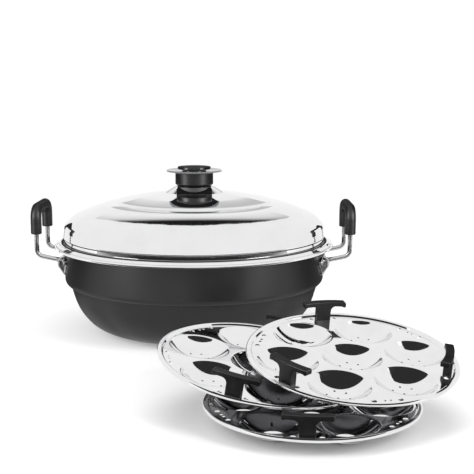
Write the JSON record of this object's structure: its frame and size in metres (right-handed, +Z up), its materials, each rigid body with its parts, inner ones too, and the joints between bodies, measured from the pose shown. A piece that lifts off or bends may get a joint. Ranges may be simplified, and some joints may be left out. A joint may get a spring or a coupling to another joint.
{
  "type": "idli steamer",
  "caption": "Round-bottomed pot with a stepped band and sleeved wire handles, a domed lid with a knob, and dished seven-cup plates on T-shaped stands piled in front.",
  "frame": {"origin": "centre of the pot's flat base, on the surface that everything stands on", "axes": "+Z up along the pot's and the lid's common axis, +X to the right handle, +Y to the back, so the plates are piled in front at -Y"},
  "size_m": [0.3725, 0.506, 0.1638],
  "materials": {
    "pot_aluminium": "hard anodised, dark grey, satin",
    "rivet_aluminium": "bare, headed",
    "bracket_steel": "stamped, polished",
    "wire_steel": "bent bright wire",
    "grip_plastic": "black heat-proof sleeve",
    "lid_steel": "spun, mirror polished",
    "knob_plastic": "black phenolic",
    "disc_steel": "spun, polished",
    "cap_plastic": "black, glossy",
    "screw_steel": "zinc plated",
    "plate_steel": "pressed, mirror polished",
    "stand_plastic": "black phenolic"
  },
  "bodies": {
    "pot": {"pot_body": "pot_aluminium", "handle_rivets": "rivet_aluminium", "bracket_left_front": "bracket_steel", "bracket_left_rear": "bracket_steel", "bracket_right_front": "bracket_steel", "bracket_right_rear": "bracket_steel", "handle_wire_left": "wire_steel", "handle_wire_right": "wire_steel", "handle_grip_left": "grip_plastic", "handle_grip_right": "grip_plastic"},
    "lid": {"lid_shell": "lid_steel", "knob_body": "knob_plastic", "knob_disc": "disc_steel", "knob_cap": "cap_plastic", "knob_washer": "screw_steel", "knob_screw": "screw_steel"},
    "lower_plate": {"plate_lower": "plate_steel", "stand_lower_1": "stand_plastic", "stand_lower_2": "stand_plastic", "stand_lower_3": "stand_plastic", "stand_screws_lower": "screw_steel"},
    "middle_plate": {"plate_middle": "plate_steel", "stand_middle_1": "stand_plastic", "stand_middle_2": "stand_plastic", "stand_screws_middle": "screw_steel"},
    "upper_plate": {"plate_upper": "plate_steel", "stand_upper_1": "stand_plastic", "stand_upper_2": "stand_plastic", "stand_upper_3": "stand_plastic", "stand_screws_upper": "screw_steel"}
  },
  "joints": [
    {"name": "lid_lift", "type": "slide", "parent": "pot", "child": "lid", "axis": [0, 0, 1], "range_m": [0, 0.2]},
    {"name": "lower_plate_lift", "type": "slide", "parent": "pot", "child": "lower_plate", "axis": [0, 0, 1], "range_m": [0, 0.12]},
    {"name": "middle_plate_lift", "type": "slide", "parent": "lower_plate", "child": "middle_plate", "axis": [0, 0, 1], "range_m": [0, 0.12]},
    {"name": "upper_plate_lift", "type": "slide", "parent": "middle_plate", "child": "upper_plate", "axis": [0, 0, 1], "range_m": [0, 0.12]}
  ]
}
